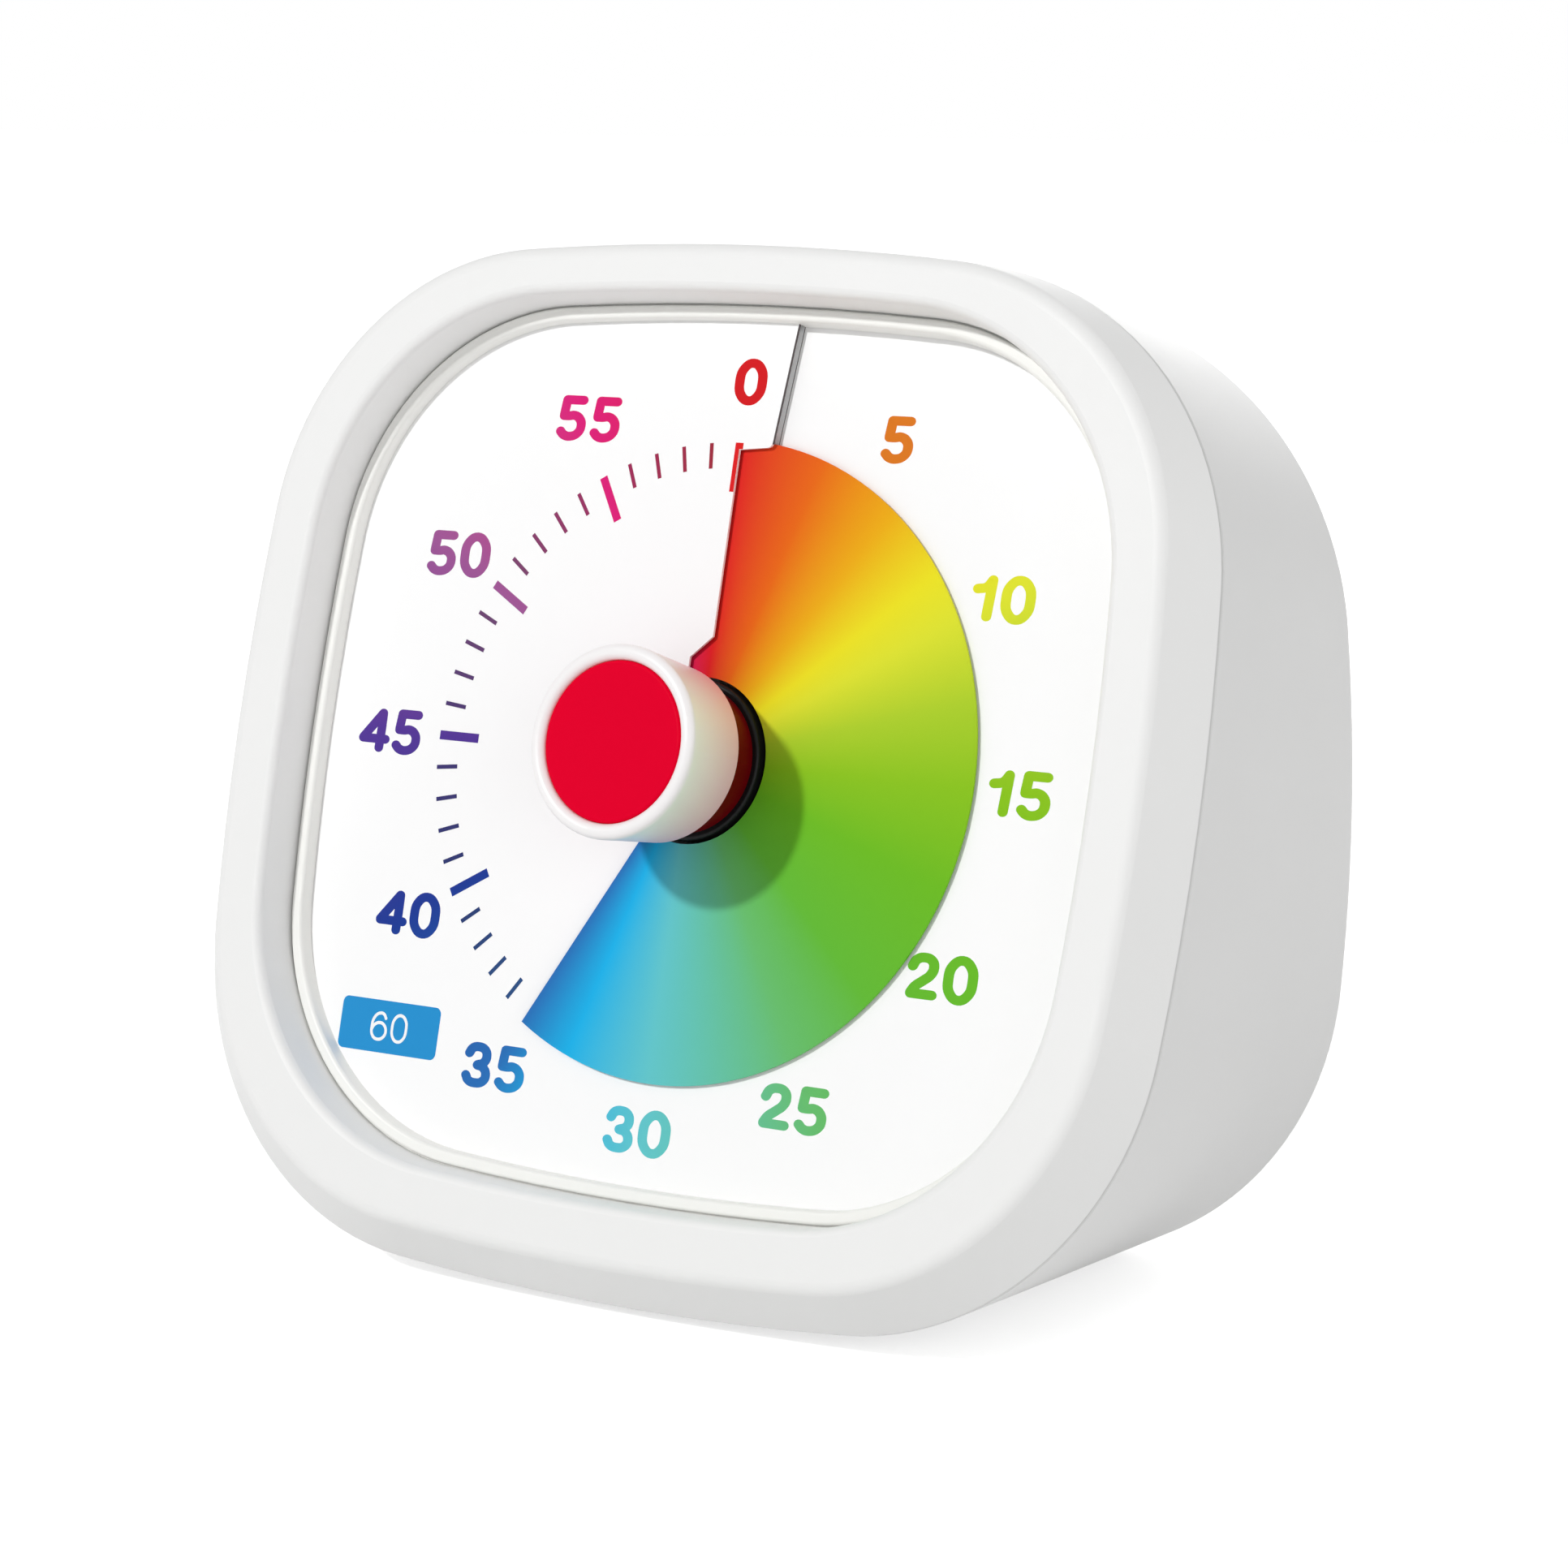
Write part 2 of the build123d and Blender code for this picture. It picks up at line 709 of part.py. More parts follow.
# ---------------------------------------------------------------- movement
with BuildPart() as movement_cover:
    with BuildSketch(dial.offset(cover_bottom)):
        RectangleRounded(2 * movement_half, 2 * movement_half, movement_corner)
        Circle(bush_radius + screw_fit, mode=Mode.SUBTRACT)
        with Locations(pillar_places):
            Circle(small_screw_radius + screw_fit, mode=Mode.SUBTRACT)
    extrude(amount=cover_thick)
    for place in (third_place, fourth_place, rotor_place):
        disc_between(
            cover_bottom,
            cover_bottom + pivot_depth,
            pivot_radius + pivot_gap,
            place,
            Mode.SUBTRACT,
        )
save(movement_cover.part, "movement_cover")

stator_bottom = stator_top - stator_thick
core_up = -movement_half + case_wall + coil_radius + level_gap
core_middle = (stator_top + stator_bottom) / 2
board_bottom = board_top - board_thick
board_posts = [(board_x - 4, board_up - 9), (board_x + 4, board_up + 9)]
core_left = rotor_place[0] - magnet_radius
core_right = core_left + coil_length + 4 * core_width
coil_left = core_right - coil_length - core_width
core_posts = [(core_left + core_width, core_up), (core_right - core_width / 2, core_up)]
with BuildPart() as movement_case:
    with BuildSketch(dial.offset(case_back)):
        RectangleRounded(2 * movement_half, 2 * movement_half, movement_corner)
    extrude(amount=cover_bottom - case_back)
    with BuildSketch(dial.offset(case_bottom)):
        RectangleRounded(
            2 * (movement_half - case_wall),
            2 * (movement_half - case_wall),
            movement_corner - case_wall,
        )
    extrude(amount=cover_bottom - case_bottom, mode=Mode.SUBTRACT)
    for place in pillar_places:
        disc_between(case_bottom, cover_bottom, pillar_radius, place)
        disc_between(
            plate_bottom - small_screw_length - screw_point,
            cover_bottom,
            small_screw_radius + screw_fit,
            place,
            Mode.SUBTRACT,
        )
    for place in board_posts:
        disc_between(case_bottom, board_bottom, post_radius, place)
    for place in core_posts:
        disc_between(case_bottom, stator_bottom, post_radius, place)
    for place in (third_place, fourth_place, rotor_place):
        disc_between(
            case_bottom - pivot_depth, case_bottom, pivot_radius + pivot_gap, place, Mode.SUBTRACT
        )
    disc_between(
        case_bottom - pivot_depth, case_bottom, spindle_radius + running_gap, mode=Mode.SUBTRACT
    )
save(movement_case.part, "movement_case")

with BuildPart() as movement_screws:
    for place in pillar_places:
        disc_between(plate_bottom - small_screw_length, plate_bottom, small_screw_radius, place)
        disc_between(plate_bottom, plate_bottom + small_head_height, small_head_radius, place)
save(movement_screws.part, "movement_screws")

with BuildPart() as spindle_bush:
    disc_between(cover_bottom, bush_top, bush_radius)
    disc_between(bush_bottom, cover_bottom, bush_flange_radius)
    disc_between(bush_bottom, bush_top, spindle_radius + running_gap, mode=Mode.SUBTRACT)
save(spindle_bush.part, "spindle_bush")

with BuildPart() as bush_nut:
    with BuildSketch(dial.offset(plate_top)):
        RegularPolygon(nut_flats / 2, 6, major_radius=False)
        Circle(bush_radius + screw_fit, mode=Mode.SUBTRACT)
    extrude(amount=nut_height)
save(bush_nut.part, "bush_nut")

# ---------------------------------------------------------------- gear train
arbor_low = case_bottom - pivot_depth + pivot_gap
arbor_high = cover_bottom + pivot_depth - pivot_gap


def gear(low, high, place, teeth, tooth_bearing):
    with BuildSketch(dial.offset(low)) as toothed_face:
        gear_loop(place, teeth, tooth_bearing)
    extrude(toothed_face.sketch, amount=high - low)


def gap_bearing(bearing, teeth):
    # turns a pinion so that a tooth gap faces the wheel that drives it
    return bearing + 180.0 + 180.0 / teeth


with BuildPart() as centre_wheel:
    gear(centre_bottom, centre_top, (0, 0), centre_teeth, third_bearing)
    disc_between(centre_bottom, centre_top, spindle_radius + press_gap, mode=Mode.SUBTRACT)
save(centre_wheel.part, "centre_wheel")

washer_inner = spindle_radius + press_gap
collar_top = centre_bottom - washer_dish - washer_thick
with BuildPart() as clutch_spring:
    with BuildSketch(dial_section):
        with BuildLine():
            Polyline(
                (washer_inner, collar_top),
                (collar_radius, collar_top),
                (washer_radius, centre_bottom - washer_thick),
                (washer_radius, centre_bottom),
                (washer_inner, collar_top + washer_thick),
                close=True,
            )
        make_face()
    revolve(axis=dial_axis)
save(clutch_spring.part, "clutch_spring")

with BuildPart() as clutch_collar:
    disc_between(collar_top - collar_height, collar_top, collar_radius)
    disc_between(
        collar_top - collar_height, collar_top, spindle_radius + press_gap, mode=Mode.SUBTRACT
    )
save(clutch_collar.part, "clutch_collar")

with BuildPart() as third_wheel:
    gear(third_wheel_bottom, third_wheel_top, third_place, third_teeth, fourth_bearing)
    gear(
        third_wheel_top,
        centre_top,
        third_place,
        third_leaves,
        gap_bearing(third_bearing, third_leaves),
    )
    disc_between(arbor_low, arbor_high, pivot_radius, third_place)
save(third_wheel.part, "third_wheel")

with BuildPart() as fourth_wheel:
    gear(fourth_wheel_bottom, fourth_wheel_top, fourth_place, fourth_teeth, rotor_bearing)
    gear(
        fourth_wheel_top,
        third_wheel_top,
        fourth_place,
        fourth_leaves,
        gap_bearing(fourth_bearing, fourth_leaves),
    )
    disc_between(arbor_low, arbor_high, pivot_radius, fourth_place)
save(fourth_wheel.part, "fourth_wheel")

with BuildPart() as rotor:
    gear(
        fourth_wheel_bottom,
        fourth_wheel_top,
        rotor_place,
        rotor_leaves,
        gap_bearing(rotor_bearing, rotor_leaves),
    )
    disc_between(arbor_low, arbor_high, pivot_radius, rotor_place)
    disc_between(magnet_bottom, magnet_top, magnet_radius, rotor_place)
save(rotor.part, "rotor")

# ---------------------------------------------------------------- motor, board and alarm cam
with BuildPart() as stator:
    with BuildSketch(dial.offset(stator_bottom)):
        with Locations(rotor_place):
            Circle(magnet_radius + stator_gap + core_width / 2)
        with Locations(((core_left + core_width), (rotor_place[1] + core_up) / 2)):
            Rectangle(2 * core_width, rotor_place[1] - core_up)
        with Locations(((core_left + core_right) / 2, core_up)):
            Rectangle(core_right - core_left, core_width)
        with Locations(rotor_place):
            Circle(magnet_radius + stator_gap, mode=Mode.SUBTRACT)
    extrude(amount=stator_thick)
save(stator.part, "stator")

coil_plane = Plane(
    origin=dial.from_local_coords((coil_left, core_up, core_middle)),
    x_dir=dial.y_dir,
    z_dir=(1, 0, 0),
)
with BuildPart() as drive_coil:
    with BuildSketch(coil_plane):
        Circle(coil_radius)
        Rectangle(core_width + pivot_gap, stator_thick + pivot_gap, mode=Mode.SUBTRACT)
    extrude(amount=coil_length)
save(drive_coil.part, "drive_coil")

with BuildPart() as circuit_board:
    with BuildSketch(dial.offset(board_bottom)):
        with Locations((board_x, board_up)):
            Rectangle(board_width, board_height)
    extrude(amount=board_thick)
save(circuit_board.part, "circuit_board")

with BuildPart() as driver_chip:
    with BuildSketch(dial.offset(board_top)):
        with Locations((board_x, board_up - chip_side)):
            Rectangle(chip_side, chip_side)
    extrude(amount=chip_height)
save(driver_chip.part, "driver_chip")

crystal_foot = board_up + board_height / 2 - crystal_edge - crystal_length
crystal_plane = Plane(
    origin=dial.from_local_coords((board_x, crystal_foot, board_top + crystal_radius)),
    x_dir=(1, 0, 0),
    z_dir=dial.y_dir,
)
with BuildPart() as quartz_crystal:
    with BuildSketch(crystal_plane):
        Circle(crystal_radius)
    extrude(amount=crystal_length)
save(quartz_crystal.part, "quartz_crystal")

with BuildPart() as alarm_cam:
    with BuildSketch(dial.offset(cam_top - cam_thick)):
        Circle(cam_radius)
        with BuildLine():
            Polyline(
                (0, cam_radius - cam_lobe),
                (-cam_lobe, cam_radius + cam_lobe),
                (-3 * cam_lobe, cam_radius - cam_lobe),
                close=True,
            )
        make_face()
        Circle(spindle_radius + press_gap, mode=Mode.SUBTRACT)
    extrude(amount=cam_thick)
save(alarm_cam.part, "alarm_cam")

leaf_x = cam_radius + cam_lobe + leaf_gap
with BuildPart() as alarm_contact:
    with BuildSketch(dial.offset(board_top)):
        with Locations((leaf_x + leaf_thick / 2, 0)):
            Rectangle(leaf_thick, leaf_length)
    extrude(amount=cam_top - board_top)
    with BuildSketch(dial.offset(board_top)):
        with Locations((leaf_x + leaf_foot / 2, 0)):
            Rectangle(leaf_foot, leaf_length / 2)
    extrude(amount=leaf_thick)
save(alarm_contact.part, "alarm_contact")

# ---------------------------------------------------------------- battery and its door
cell_y = rear_y - battery_rear - battery_radius
cell_z = dial_height + battery_up
cell_left = spring_room - bay_half_length
cell_plane = Plane(origin=(cell_left, cell_y, cell_z), x_dir=(0, 1, 0), z_dir=(1, 0, 0))
with BuildPart() as battery:
    with BuildSketch(cell_plane):
        Circle(battery_radius)
    extrude(amount=battery_length - nub_length)
    fillet(battery.edges(), battery_gap)
    with BuildSketch(cell_plane.offset(battery_length - nub_length)):
        Circle(nub_radius)
    extrude(amount=nub_length)
save(battery.part, "battery")

with BuildPart() as battery_contact:
    with BuildSketch(cell_plane.offset(battery_length)):
        Rectangle(contact_side, contact_side)
    extrude(amount=contact_thick)
save(battery_contact.part, "battery_contact")

spring_base = cell_plane.offset(contact_thick - spring_room + spring_wire * spring_sunk)
spring_length = spring_room - contact_thick - spring_wire * (spring_sunk + 1) - press_gap
coil_line = spring_base.location * Helix(
    pitch=spring_length / spring_turns, height=spring_length, radius=spring_radius
)
with BuildPart() as battery_spring:
    with BuildSketch(cell_plane.offset(-spring_room)):
        Rectangle(contact_side, contact_side)
    extrude(amount=contact_thick)
    with BuildSketch(Plane(origin=coil_line @ 0, z_dir=coil_line % 0)):
        Circle(spring_wire)
    sweep(path=coil_line, is_frenet=True)
save(battery_spring.part, "battery_spring")

tab_up = bay_half_height - door_gap - door_tab_thick / 2
with BuildPart() as battery_door:
    with BuildSketch(rear):
        with Locations((0, battery_up)):
            RectangleRounded(2 * door_half_length, 2 * door_half_height, door_corner)
    extrude(amount=door_thick)
    with BuildSketch(rear.offset(door_thick)):
        with Locations(
            [
                (side * bay_half_length / 2, battery_up + end * tab_up)
                for side in (-1, 1)
                for end in (-1, 1)
            ]
        ):
            Rectangle(door_tab_width, door_tab_thick)
    extrude(amount=door_tab)
    with BuildSketch(rear):
        with Locations((0, battery_up + grip_up)):
            SlotOverall(grip_width, grip_height)
    extrude(amount=grip_depth, mode=Mode.SUBTRACT)
    with BuildSketch(rear.offset(grip_depth)):
        with Locations((0, battery_up + grip_up)):
            with GridLocations(grip_rib_pitch, 0, grip_ribs, 1):
                Rectangle(grip_rib_thick, grip_height - 2 * grip_rib_thick)
    extrude(amount=-grip_rib_height)
save(battery_door.part, "battery_door")

# ---------------------------------------------------------------- buzzer and sound switch
with BuildPart() as piezo_buzzer:
    with BuildSketch(rear_inside):
        with Locations((0, buzzer_up)):
            Circle(buzzer_radius)
    extrude(amount=buzzer_thick)
save(piezo_buzzer.part, "piezo_buzzer")

slider_x = -switch_travel / 2
base_start = housing_wall + switch_gap
with BuildPart() as sound_switch:
    with BuildSketch(rear.offset(switch_gap)):
        with Locations((slider_x, switch_up)):
            Rectangle(nub_width, nub_height)
    extrude(amount=base_start)
    with BuildSketch(rear.offset(base_start)):
        with Locations((slider_x, switch_up)):
            Rectangle(switch_base, switch_base_height)
    extrude(amount=switch_base_thick)
save(sound_switch.part, "sound_switch")

with BuildPart() as switch_body:
    with BuildSketch(rear_inside):
        with Locations((0, switch_up)):
            Rectangle(switch_body_length, switch_body_height)
    extrude(amount=switch_body_depth)
    with BuildSketch(rear_inside):
        with Locations((0, switch_up)):
            Rectangle(
                switch_base + switch_travel + 2 * slot_gap, switch_base_height + 2 * slot_gap
            )
    extrude(amount=switch_base_thick + 2 * switch_gap, mode=Mode.SUBTRACT)
save(switch_body.part, "switch_body")
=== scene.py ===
import bpy
import bmesh
import json
from math import atan2, cos, degrees, pi, radians, sin
from mathutils import Matrix, Vector


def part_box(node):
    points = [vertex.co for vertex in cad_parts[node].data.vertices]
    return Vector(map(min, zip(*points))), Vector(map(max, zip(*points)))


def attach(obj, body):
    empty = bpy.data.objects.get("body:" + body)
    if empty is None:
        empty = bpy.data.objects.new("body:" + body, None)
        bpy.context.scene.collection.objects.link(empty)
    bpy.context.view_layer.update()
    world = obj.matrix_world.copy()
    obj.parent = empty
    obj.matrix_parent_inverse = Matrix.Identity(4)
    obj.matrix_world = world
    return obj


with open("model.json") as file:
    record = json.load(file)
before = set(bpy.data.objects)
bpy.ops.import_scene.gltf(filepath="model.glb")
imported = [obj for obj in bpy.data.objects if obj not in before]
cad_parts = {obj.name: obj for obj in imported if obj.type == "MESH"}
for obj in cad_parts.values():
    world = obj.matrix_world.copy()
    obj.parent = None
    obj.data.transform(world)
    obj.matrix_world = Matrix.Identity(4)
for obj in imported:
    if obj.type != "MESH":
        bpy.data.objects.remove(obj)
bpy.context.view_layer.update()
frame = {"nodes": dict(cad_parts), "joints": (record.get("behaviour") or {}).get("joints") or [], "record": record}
scene = bpy.context.scene
millimetre = 0.001

# the dial's own frame: x across, y up the dial, z out of it
joints = {joint["name"]: joint for joint in frame["joints"]}
couplings = {link["joint"]: link for link in frame["record"]["behaviour"]["couplings"]}
dialCentre = Vector(joints["knob_turn"]["pos_m"])
dialOut = Vector(joints["knob_turn"]["axis"]).normalized()
dialAcross = Vector((1, 0, 0))
dialUp = dialOut.cross(dialAcross)
dialTurn = Matrix((dialAcross, dialUp, dialOut)).transposed()
dialPlace = Matrix.Translation(dialCentre) @ dialTurn.to_4x4()
cardPitch = -couplings["film_shift"]["ratio"] * 2 * pi


# ---- camera
cameraView = {
    "turn": 33.7,            # degrees round to the right of the dial's front
    "rise": 8.9,             # degrees above level
    "distance": 0.39736,     # m, from the dial's middle
    "aside": 0.00778,        # m, the camera stands this far right of the line to the dial's middle
    "above": -0.00205,
    "lens": 104.35,          # mm
    "sensor": 36,
    "nearest": 0.01,         # m, nothing shows closer than this or further off than the next
    "furthest": 100,
}


def buildCamera(view):
    turn, rise = radians(view["turn"]), radians(view["rise"])
    right = Vector((cos(turn), sin(turn), 0))
    up = Vector((-sin(turn) * sin(rise), cos(turn) * sin(rise), cos(rise)))
    back = right.cross(up)
    data = bpy.data.cameras.new("camera")
    data.lens = view["lens"]
    data.sensor_width = view["sensor"]
    data.clip_start = view["nearest"]
    data.clip_end = view["furthest"]
    camera = bpy.data.objects.new("camera", data)
    scene.collection.objects.link(camera)
    place = dialCentre + view["distance"] * back + view["aside"] * right + view["above"] * up
    facing = Matrix((right, up, back)).transposed()
    camera.matrix_world = Matrix.Translation(place) @ facing.to_4x4()
    scene.camera = camera


buildCamera(cameraView)
print("camera placed")


# ---- colours and shared shader groups
def ink(red, green, blue):
    # screen values 0-255 to the linear colour that a shader takes
    shares = [part / 255 for part in (red, green, blue)]
    return tuple(
        part / 12.92 if part <= 0.04045 else ((part + 0.055) / 1.055) ** 2.4 for part in shares
    ) + (1.0,)


def newGroup(name, inputs, outputs):
    group = bpy.data.node_groups.new(name, "ShaderNodeTree")
    for label, kind in inputs:
        group.interface.new_socket(label, in_out="INPUT", socket_type=kind)
    for label, kind in outputs:
        group.interface.new_socket(label, in_out="OUTPUT", socket_type=kind)
    start = group.nodes.new("NodeGroupInput")
    end = group.nodes.new("NodeGroupOutput")
    return group, start, end


def feed(tree, socket, value):
    # a link where the value is another node's socket, else the value itself
    if isinstance(value, bpy.types.NodeSocket):
        tree.links.new(value, socket)
    else:
        socket.default_value = value


def mathNode(tree, operation, *values):
    node = tree.nodes.new("ShaderNodeMath")
    node.operation = operation
    for socket, value in zip(node.inputs, values):
        feed(tree, socket, value)
    return node.outputs[0]


def mixNode(tree, share, first, second):
    # from the first colour to the second as the share goes from 0 to 1
    node = tree.nodes.new("ShaderNodeMix")
    node.data_type = "RGBA"
    for label, value in (("Factor", share), ("A", first), ("B", second)):
        feed(tree, node.inputs[label], value)
    return node.outputs["Result"]


def noiseNode(tree, place, scale, detail, rough=0.5):
    node = tree.nodes.new("ShaderNodeTexNoise")
    for label, value in (("Vector", place), ("Scale", scale), ("Detail", detail), ("Roughness", rough)):
        feed(tree, node.inputs[label], value)
    return node.outputs["Fac"]


mouldLook = {
    "grainDetail": 3.0,
    "grainRough": 0.6,
    "flowScale": 45.0,       # a slow drift over the whole piece
    "flowDetail": 2.0,
    "flowGloss": 0.12,       # roughness moves by this much between the drift's two ends
    "flowShade": 0.7,
    "speckScale": 900.0,     # small flecks
    "speckDetail": 1.0,
    "speckGloss": 0.08,
    "dimmed": (0.55, 0.56, 0.58, 1),
}


def buildMouldGrain(look):
    # fine spark texture of a moulding, with slow drifts in gloss and shade
    group, start, end = newGroup(
        "mouldGrain",
        [
            ("Vector", "NodeSocketVector"),
            ("Grain Scale", "NodeSocketFloat"),
            ("Gloss", "NodeSocketFloat"),
            ("Colour", "NodeSocketColor"),
            ("Shade", "NodeSocketFloat"),
        ],
        [
            ("Height", "NodeSocketFloat"),
            ("Roughness", "NodeSocketFloat"),
            ("Colour", "NodeSocketColor"),
        ],
    )
    place = start.outputs["Vector"]
    grain = noiseNode(
        group, place, start.outputs["Grain Scale"], look["grainDetail"], look["grainRough"],
    )
    flow = noiseNode(group, place, look["flowScale"], look["flowDetail"])
    speck = noiseNode(group, place, look["speckScale"], look["speckDetail"])
    drift = mathNode(group, "MULTIPLY_ADD", flow, look["flowGloss"], -look["flowGloss"] / 2)
    fleck = mathNode(group, "MULTIPLY_ADD", speck, look["speckGloss"], -look["speckGloss"] / 2)
    gloss = mathNode(group, "ADD", start.outputs["Gloss"], mathNode(group, "ADD", drift, fleck))
    patch = mathNode(group, "MULTIPLY_ADD", flow, look["flowShade"], fleck)
    dim = mathNode(group, "MULTIPLY", patch, start.outputs["Shade"])
    colour = mixNode(group, dim, start.outputs["Colour"], look["dimmed"])
    for label, value in (("Height", grain), ("Roughness", gloss), ("Colour", colour)):
        group.links.new(value, end.inputs[label])
    return group


# printed colours round the dial: minute, red, green, blue
rainbowStops = [
    (0, 225, 30, 35), (3, 235, 105, 20), (6, 240, 175, 20), (8.5, 240, 230, 35), (10, 225, 230, 50),
    (12.5, 175, 210, 45), (15, 140, 198, 30), (18, 110, 190, 35), (22, 100, 188, 55),
    (25, 105, 192, 112), (30, 100, 200, 205), (33, 30, 180, 235), (35, 45, 112, 185),
    (40, 32, 60, 150), (45, 85, 56, 150), (50, 160, 88, 150), (55, 222, 32, 122), (60, 225, 30, 35),
]


def buildDialRainbow():
    # colour by the angle about the dial's middle, clockwise from the top
    group, start, end = newGroup(
        "dialRainbow", [("Vector", "NodeSocketVector")], [("Colour", "NodeSocketColor")],
    )
    # the sweep starts on its -x side, so its x points down the dial
    turn = Matrix((-dialUp, -dialAcross, -dialOut))
    mapping = group.nodes.new("ShaderNodeMapping")
    mapping.inputs["Rotation"].default_value = turn.to_euler()
    mapping.inputs["Location"].default_value = -(turn @ dialCentre)
    group.links.new(start.outputs["Vector"], mapping.inputs["Vector"])
    sweep = group.nodes.new("ShaderNodeTexGradient")
    sweep.gradient_type = "RADIAL"
    group.links.new(mapping.outputs["Vector"], sweep.inputs["Vector"])
    ramp = group.nodes.new("ShaderNodeValToRGB")
    stops = ramp.color_ramp.elements
    for minute, *shade in rainbowStops[1:-1]:    # a new ramp has its two end stops already
        stops.new(minute / 60)
    for stop, (minute, *shade) in zip(stops, rainbowStops):
        stop.color = ink(*shade)
    group.links.new(sweep.outputs["Fac"], ramp.inputs["Fac"])
    group.links.new(ramp.outputs["Color"], end.inputs["Colour"])
    return group


mouldGrain = buildMouldGrain(mouldLook)
dialRainbow = buildDialRainbow()
print("shader groups built")


# ---- materials
def newMaterial(name):
    material = bpy.data.materials.new(name)
    material.use_nodes = True
    tree = material.node_tree
    shader = tree.nodes["Principled BSDF"]
    place = tree.nodes.new("ShaderNodeTexCoord").outputs["Object"]
    return material, tree, shader, place


def placeGroup(tree, group, place):
    node = tree.nodes.new("ShaderNodeGroup")
    node.node_tree = group
    tree.links.new(place, node.inputs["Vector"])
    return node


def addBump(tree, shader, height, strength, distance):
    bump = tree.nodes.new("ShaderNodeBump")
    for label, value in (("Strength", strength), ("Distance", distance), ("Height", height)):
        feed(tree, bump.inputs[label], value)
    tree.links.new(bump.outputs["Normal"], shader.inputs["Normal"])


def finishGrain(tree, shader, place, grainScale, gloss, colour, shade):
    # the moulding's grain drives the shader's colour and roughness
    grain = placeGroup(tree, mouldGrain, place)
    for label, value in (
        ("Grain Scale", grainScale), ("Gloss", gloss), ("Colour", colour), ("Shade", shade),
    ):
        feed(tree, grain.inputs[label], value)
    tree.links.new(grain.outputs["Colour"], shader.inputs["Base Color"])
    tree.links.new(grain.outputs["Roughness"], shader.inputs["Roughness"])
    return grain.outputs["Height"]


plasticLook = {
    "index": 1.49,
    "bump": 0.35,
}


def mouldedPlastic(
    name, colour, gloss, grainScale=2500.0, grainDepth=0.00002, shade=0.03, coat=0.0, shine=0.5,
):
    material, tree, shader, place = newMaterial(name)
    height = finishGrain(tree, shader, place, grainScale, gloss, colour, shade)
    shader.inputs["IOR"].default_value = plasticLook["index"]
    shader.inputs["Specular IOR Level"].default_value = shine
    shader.inputs["Coat Weight"].default_value = coat
    addBump(tree, shader, height, plasticLook["bump"], grainDepth)
    return material


printLook = {
    "grainScale": 4000.0,
    "grainDepth": 0.00001,
    "shade": 0.02,
    "bump": 0.1,
    "dark": ink(52, 56, 66),     # what darker rainbow ink is mixed with
}


def printedInk(name, gloss=0.5, colour=None, shine=0.02, dark=0.0):
    # rainbow ink unless one colour is given
    material, tree, shader, place = newMaterial(name)
    if colour is None:
        rainbow = placeGroup(tree, dialRainbow, place)
        colour = mixNode(tree, dark, rainbow.outputs["Colour"], printLook["dark"])
    height = finishGrain(
        tree, shader, place, printLook["grainScale"], gloss, colour, printLook["shade"],
    )
    shader.inputs["Specular IOR Level"].default_value = shine
    addBump(tree, shader, height, printLook["bump"], printLook["grainDepth"])
    return material


metalLook = {
    "stretch": (1.0, 1.0, 12.0),
    "detail": 2.0,
    "wear": 0.2,             # roughness moves by this much along the brushing
    "bump": 0.08,
    "depth": 0.00002,
}


def brightMetal(name, colour, gloss, brushScale=400.0):
    material, tree, shader, place = newMaterial(name)
    mapping = tree.nodes.new("ShaderNodeMapping")
    mapping.inputs["Scale"].default_value = metalLook["stretch"]
    tree.links.new(place, mapping.inputs["Vector"])
    brush = noiseNode(tree, mapping.outputs["Vector"], brushScale, metalLook["detail"])
    wear = mathNode(tree, "MULTIPLY_ADD", brush, metalLook["wear"], gloss - metalLook["wear"] / 2)
    tree.links.new(wear, shader.inputs["Roughness"])
    shader.inputs["Base Color"].default_value = colour
    shader.inputs["Metallic"].default_value = 1.0
    addBump(tree, shader, brush, metalLook["bump"], metalLook["depth"])
    return material


# mouldings
shellWhite = mouldedPlastic("shellWhite", ink(241, 241, 240), 0.5)
ringWhite = mouldedPlastic("ringWhite", ink(245, 245, 241), 0.42)
cardWhite = mouldedPlastic(
    "cardWhite", ink(253, 253, 253), 0.5, grainScale=6000.0, grainDepth=0.000005, shade=0.0, shine=0.3,
)
knobWhite = mouldedPlastic(
    "knobWhite", ink(248, 246, 246), 0.35, grainScale=3000.0, grainDepth=0.000008, shade=0.01,
)
capRed = mouldedPlastic(
    "capRed", ink(230, 0, 44), 0.4, grainScale=3000.0, grainDepth=0.00001, shade=0.0, shine=0.02,
)
# painted shade: the stem is the cap's red plastic, given a darker red for the shade it stands in under the sleeve
stemRedPaintedShade = mouldedPlastic("stemRedPaintedShade", ink(110, 0, 10), 0.35, shade=0.0, shine=0.1)
hubBlack = mouldedPlastic(
    "hubBlack", ink(10, 10, 12), 0.35, grainDepth=0.00003, shade=0.02, shine=0.15,
)
frameGrey = mouldedPlastic("frameGrey", ink(190, 190, 192), 0.55)
caseBlack = mouldedPlastic("caseBlack", ink(30, 31, 34), 0.5)
gearNatural = mouldedPlastic("gearNatural", ink(236, 232, 220), 0.35, grainDepth=0.00001)
boardGreen = mouldedPlastic("boardGreen", ink(38, 104, 62), 0.3, grainScale=900.0, shade=0.1)
chipBlack = mouldedPlastic("chipBlack", ink(26, 26, 28), 0.5)
buzzerBlack = mouldedPlastic("buzzerBlack", ink(28, 28, 30), 0.55)
cellJacket = mouldedPlastic(
    "cellJacket", ink(60, 66, 74), 0.25, grainScale=1200.0, grainDepth=0.00001, shade=0.1, coat=0.3,
)

